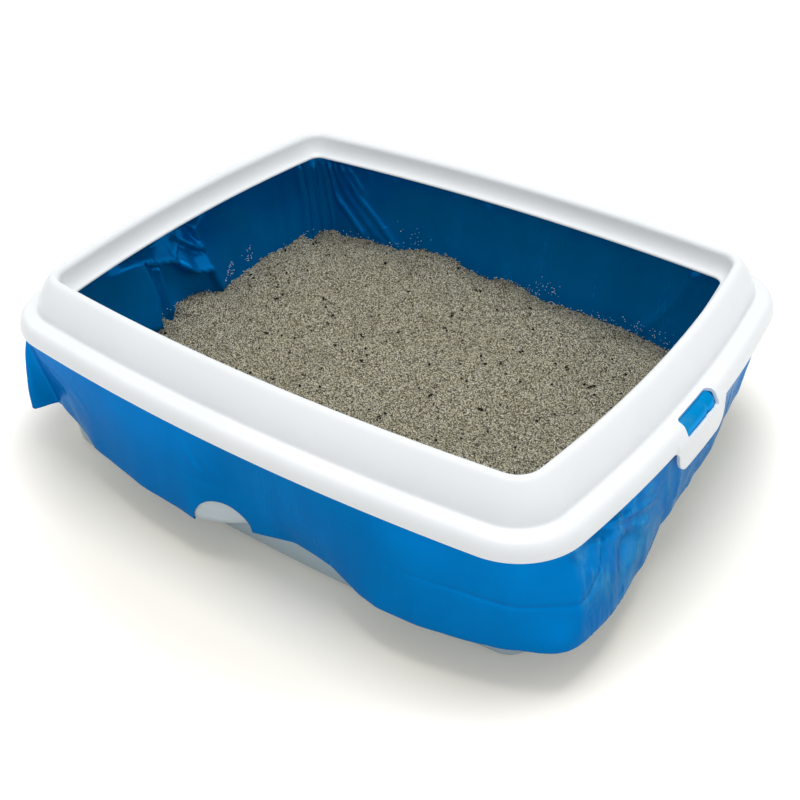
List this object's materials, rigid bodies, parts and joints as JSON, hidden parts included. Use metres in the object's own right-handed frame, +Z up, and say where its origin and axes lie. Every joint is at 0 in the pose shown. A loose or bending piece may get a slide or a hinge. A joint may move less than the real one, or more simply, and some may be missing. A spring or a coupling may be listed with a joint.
{
  "type": "framed litter box with film liner",
  "caption": "Shallow moulded litter pan with a clip-on splash rim frame, a blue film liner turned down over its edge, and a bed of granular litter.",
  "frame": {"origin": "on the floor under the middle of the object's box, which is the middle of the pan's flat underside", "axes": "+X along the long side, +Y from front to back, +Z up"},
  "size_m": [0.488, 0.3932, 0.1463],
  "materials": {
    "pan_plastic": "satin grey moulded plastic",
    "frame_plastic": "fine matte white moulded plastic",
    "liner_film": "thin satin blue film with creases",
    "drawtape": "thin white film tape",
    "litter_granules": "dry fine granules, beige grey with dark flecks"
  },
  "bodies": {
    "root": {"pan": "pan_plastic", "rim_frame": "frame_plastic", "liner": "liner_film", "drawtape_front": "drawtape", "drawtape_back": "drawtape", "litter": "litter_granules"}
  },
  "joints": []
}
